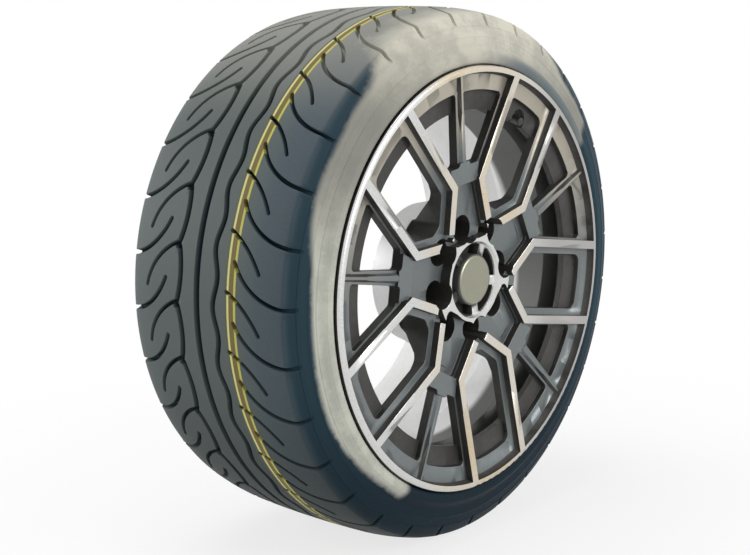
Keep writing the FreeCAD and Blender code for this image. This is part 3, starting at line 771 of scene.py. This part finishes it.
# a painted yellowish reflection at the top and bottom of the face, in patches and away from the hub
upright = ramp(tree, calc(tree, "ABSOLUTE", x), 0.12, 0.03)
painted_reflection = calc(tree, "MULTIPLY", upright, ramp(tree, sheen["Mask"], 0.0, 1.0, 0.45, 1.0))
painted_reflection = calc(tree, "MULTIPLY", painted_reflection, ramp(tree, lines["Radius"], 0.05, 0.09))
metal = tint(tree, painted_reflection, bright, (0.64, 0.515, 0.335, 1.0))
# the lip's outer rounding is painted near black as painted shade in the gap against the tyre
lip_gap_shade = ramp(tree, lines["Radius"], 0.2194, 0.2196)
tree.links.new(tint(tree, lip_gap_shade, metal, (0.026, 0.025, 0.023, 1.0)), sockets["Base Color"])
tree.links.new(ramp(tree, lines["Height"], -1.0, 1.0, 0.22, 0.34), sockets["Roughness"])
relief(tree, sockets, lines["Height"], 0.08, 0.0001)
print("turned metal:", len(tree.nodes), "nodes")

# %% Painted shade on walls and deep faces
shade, tree, sockets, place = new_finish("painted_wall_shade", Metallic=0.2)
flake = use(tree, grain, Place=place, Scale=1200.0)
dusty = use(tree, patches, Place=place, Scale=22.0)
# near black with random lighter patches: painted shade on walls and deep faces
dark = tint(tree, dusty["Mask"], (0.026, 0.025, 0.023, 1.0), (0.045, 0.043, 0.039, 1.0))
tree.links.new(dark, sockets["Base Color"])
tree.links.new(ramp(tree, flake["Tone"], 0.0, 1.0, 0.45, 0.6), sockets["Roughness"])
relief(tree, sockets, flake["Height"], 0.15, 0.0002)
print("wall_shade:", len(tree.nodes), "nodes")

# %% Barrel paint
silver, tree, sockets, place = new_finish("barrel_paint", Metallic=0.3)
y, z = add(tree, "ShaderNodeSeparateXYZ", {0: place}).outputs[1:]
spun = use(tree, rings, Place=place, Pitch=0.0013)
flake = use(tree, grain, Place=place, Scale=1300.0)
dusty = use(tree, patches, Place=place, Scale=12.0)
# dark grey at the front and silver at the back and on the hub drum: partly a two-tone paint, partly painted
# shade at the front and painted light at the back; the edge moves back toward the top to follow the light
primer_and_shade = tint(tree, flake["Tone"], (0.10, 0.103, 0.097, 1.0), (0.14, 0.144, 0.136, 1.0))
topcoat_and_light = tint(tree, dusty["Mask"], (0.80, 0.80, 0.80, 1.0), (0.72, 0.72, 0.71, 1.0))
sprayed_and_lit = ramp(tree, calc(tree, "SUBTRACT", y, calc(tree, "MULTIPLY", z, 0.1)), -0.008, 0.002)
sprayed_and_lit = calc(tree, "MAXIMUM", sprayed_and_lit, ramp(tree, spun["Radius"], 0.13, 0.12))
tree.links.new(tint(tree, sprayed_and_lit, primer_and_shade, topcoat_and_light), sockets["Base Color"])
tree.links.new(ramp(tree, flake["Tone"], 0.0, 1.0, 0.4, 0.55), sockets["Roughness"])
relief(tree, sockets, flake["Height"], 0.1, 0.0002)
for material in (paint, alloy, shade, silver):
    mesh.materials.append(material)
print("wheel finishes:", [m.name for m in mesh.materials])

# %% [markdown]
# ## Cap and valve
#
# The centre cap is moulded plastic with a plain metal disc. The valve is a rubber body round a brass
# stem, with its core, pin and dust cap. These could be modelled again, but their solids have the right
# shapes, so they stay, and each gets its own finish.

# %% Cap and valve finishes
def small_finish(name, dark, light, low, high, scale, **values):
    """A finish whose tone and roughness follow the fine grain at that scale."""
    made, tree, sockets, place = new_finish(name, **values)
    speck = use(tree, grain, Place=place, Scale=scale)
    tree.links.new(tint(tree, speck["Tone"], (*dark, 1.0), (*light, 1.0)), sockets["Base Color"])
    tree.links.new(ramp(tree, speck["Tone"], 0.0, 1.0, low, high), sockets["Roughness"])
    relief(tree, sockets, speck["Height"], 0.15, 0.0002)
    return made


TONES = {
    "cap_plastic": ((0.055, 0.056, 0.055), (0.085, 0.086, 0.084), 0.35, 0.5, 900.0),
    "cap_metal": ((0.26, 0.257, 0.20), (0.32, 0.316, 0.245), 0.3, 0.42, 1200.0),
    "spring_steel": ((0.45, 0.45, 0.46), (0.6, 0.6, 0.6), 0.25, 0.4, 1500.0),
    "valve_rubber": ((0.02, 0.021, 0.022), (0.035, 0.036, 0.037), 0.5, 0.7, 1300.0),
    "valve_brass": ((0.55, 0.40, 0.16), (0.72, 0.54, 0.24), 0.25, 0.4, 1500.0),
    "valve_plastic": ((0.015, 0.015, 0.016), (0.03, 0.03, 0.031), 0.4, 0.55, 1400.0),
}
METALS = {"cap_metal": 0.85, "spring_steel": 1.0, "valve_brass": 1.0}
FINISHES = {slot: small_finish(slot, *tones, Metallic=METALS.get(slot, 0.0)) for slot, tones in TONES.items()}
NODE_SLOTS = {
    "centre_cap": "cap_plastic", "cap_disc": "cap_metal", "cap_spring_ring": "spring_steel",
    "valve_rubber": "valve_rubber", "valve_stem": "valve_brass", "valve_core": "valve_brass",
    "valve_pin": "valve_brass", "valve_cap": "valve_plastic",
}
for node, slot in NODE_SLOTS.items():
    mesh = frame["nodes"][node].data
    mesh.materials.clear()
    mesh.materials.append(FINISHES[slot])
print("finished nodes:", len(NODE_SLOTS))

# %% [markdown]
# ## Valve spring
#
# A small coil round the pin pushes the valve shut. When the pin is pressed, the coil closes up toward
# its seat. A coil worked out from a helix takes the solid's place.

# %% Coil from a helix
COIL_TURNS = 6
COIL_R = 1.16
COIL_WIRE = 0.22


def coil(turns, reach, radius, wire, steps=24, sides=8):
    """A small circle carried along a helix that turns round Z and climbs reach, with both ends closed."""
    turn = np.linspace(0, 2 * np.pi * turns, steps * turns + 1)[:, None]
    side = np.linspace(0, 2 * np.pi, sides, endpoint=False)[None, :]
    off_axis = radius + wire * np.cos(side)
    climb = reach * (turn / turn[-1] - 0.5) + wire * np.sin(side)
    points = np.stack([off_axis * np.cos(turn), off_axis * np.sin(turn), climb], axis=-1)
    i, j = np.meshgrid(np.arange(len(turn) - 1), np.arange(sides), indexing="ij")
    k = (j + 1) % sides
    quads = np.stack([i * sides + j, i * sides + k, (i + 1) * sides + k, (i + 1) * sides + j], axis=-1)
    last = len(turn) * sides
    caps = [list(range(sides)), list(range(last - sides, last))]
    return points.reshape(-1, 3), quads.reshape(-1, 4).tolist() + caps


press = next(joint for joint in frame["joints"] if joint["name"] == "valve_pin_press")
inward = np.array(press["axis"]) / np.linalg.norm(press["axis"])
solid = read(frame["nodes"]["valve_spring"].data.vertices, "co", 3).astype(float)
centre = solid.mean(0)
reach = np.ptp(solid @ inward)
across = np.cross(inward, [0.0, 0.0, 1.0])
across /= np.linalg.norm(across)
coil_points, coil_faces = coil(COIL_TURNS, reach / MM - 2 * COIL_WIRE, COIL_R, COIL_WIRE)
coil_points = centre + MM * coil_points @ np.stack([across, np.cross(inward, across), inward])
spring = solid_piece("valve_coil", coil_points, coil_faces, sharp=60.0)
spring.data.materials.append(FINISHES["spring_steel"])
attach(spring, "wheel")
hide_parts("valve_spring")
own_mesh(spring)
print("coil:", round(reach / MM, 2), "mm long")

# %% Update the view layer
bpy.context.view_layer.update()
